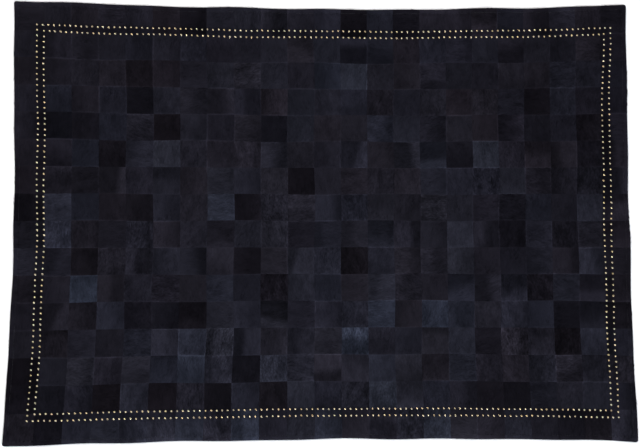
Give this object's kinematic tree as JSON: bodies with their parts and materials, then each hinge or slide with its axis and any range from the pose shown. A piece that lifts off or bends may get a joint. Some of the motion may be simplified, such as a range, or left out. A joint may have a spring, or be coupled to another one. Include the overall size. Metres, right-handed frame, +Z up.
{
  "type": "cowhide patchwork rug",
  "caption": "Flat rectangular floor rug sewn from square patches of dark blue-black hair-on cowhide, with a stitched turned hem and rows of small domed stud heads round the border.",
  "frame": {"origin": "on the floor under the middle of the rug's box", "axes": "+X along the rug's length, +Y across it towards the back edge, +Z up, out of the hair side"},
  "size_m": [2.3316, 1.6504, 0.0058],
  "materials": {
    "hide": "short glossy dyed hair",
    "flesh_side": "matt suede",
    "thread": "matt",
    "stud": "polished"
  },
  "bodies": {
    "root": {"patchwork_hide": "hide"}
  },
  "joints": []
}
